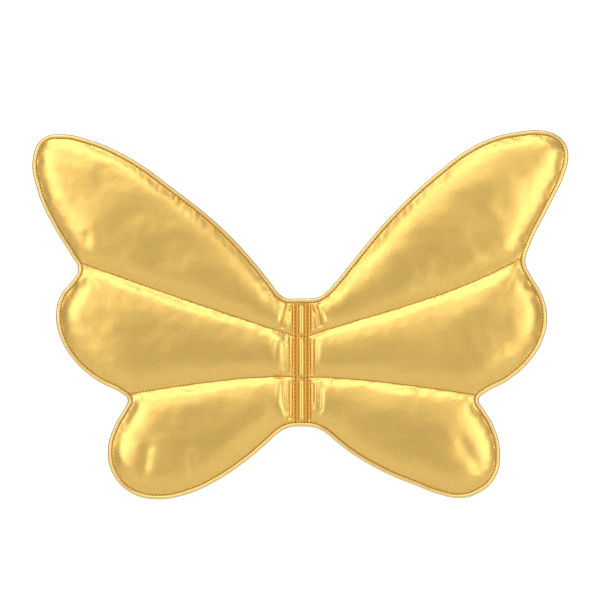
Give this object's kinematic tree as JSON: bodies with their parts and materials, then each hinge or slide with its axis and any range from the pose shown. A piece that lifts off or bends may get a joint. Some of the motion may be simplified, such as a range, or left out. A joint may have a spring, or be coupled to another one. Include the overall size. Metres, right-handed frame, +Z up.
{
  "type": "fairy wings",
  "caption": "Padded butterfly-shaped costume wings of quilted metallic gold cloth, folding along a stitched centre rib, with elastic arm straps.",
  "frame": {"origin": "middle of the flat back face of the spine strip, which lies on the wearer's back", "axes": "+X to the right as seen from the decorated side, +Y towards the wearer, +Z up; the decorated side faces -Y"},
  "size_m": [0.4998, 0.0983, 0.3444],
  "materials": {
    "gold_cloth": "metallic gold coated cloth, fine grain, satin sheen",
    "folded_tape": "folded strip of the same coated cloth, duller",
    "thread": "twisted polyester thread",
    "wadding": "bonded polyester wadding",
    "spring_wire": "bright drawn wire",
    "crimp_sleeve": "plain crimped tube",
    "elastic": "woven elastic"
  },
  "bodies": {
    "spine": {"spine_front_cover": "gold_cloth", "spine_back_cover": "gold_cloth", "spine_upper_wadding": "wadding", "spine_middle_wadding": "wadding", "spine_lower_wadding": "wadding", "spine_left_stitching": "thread", "spine_right_stitching": "thread", "spine_top_stitching": "thread", "spine_upper_quilting": "thread", "spine_lower_quilting": "thread", "spine_bottom_stitching": "thread", "spine_strip": "folded_tape", "left_upper_bar_tack": "thread", "left_lower_bar_tack": "thread", "right_upper_bar_tack": "thread", "right_lower_bar_tack": "thread", "left_upper_strap_end": "elastic", "left_lower_strap_end": "elastic", "right_upper_strap_end": "elastic", "right_lower_strap_end": "elastic"},
    "left_wing": {"left_front_cover": "gold_cloth", "left_back_cover": "gold_cloth", "left_upper_wadding": "wadding", "left_middle_wadding": "wadding", "left_lower_wadding": "wadding", "left_edge_wire": "spring_wire", "left_wire_sleeve": "crimp_sleeve", "left_edge_stitching": "thread", "left_upper_quilting": "thread", "left_lower_quilting": "thread"},
    "right_wing": {"right_front_cover": "gold_cloth", "right_back_cover": "gold_cloth", "right_upper_wadding": "wadding", "right_middle_wadding": "wadding", "right_lower_wadding": "wadding", "right_edge_wire": "spring_wire", "right_wire_sleeve": "crimp_sleeve", "right_edge_stitching": "thread", "right_upper_quilting": "thread", "right_lower_quilting": "thread"},
    "left_strap": {"left_strap": "elastic"},
    "right_strap": {"right_strap": "elastic"}
  },
  "joints": [
    {"name": "left_wing_fold", "type": "hinge", "parent": "spine", "child": "left_wing", "pos_m": [-0.0076, -0.0053, 0], "axis": [0, 0, 1], "range_deg": [-8, 70], "stiffness_Nm_per_rad": 0.05},
    {"name": "right_wing_fold", "type": "hinge", "parent": "spine", "child": "right_wing", "pos_m": [0.0076, -0.0053, 0], "axis": [0, 0, -1], "range_deg": [-8, 70], "stiffness_Nm_per_rad": 0.05},
    {"name": "left_strap_swing", "type": "hinge", "parent": "spine", "child": "left_strap", "pos_m": [-0.0081, -0.0022, 0], "axis": [0, 0, -1], "range_deg": [-12, 40], "stiffness_Nm_per_rad": 0.004},
    {"name": "right_strap_swing", "type": "hinge", "parent": "spine", "child": "right_strap", "pos_m": [0.0081, -0.0022, 0], "axis": [0, 0, 1], "range_deg": [-12, 40], "stiffness_Nm_per_rad": 0.004}
  ]
}
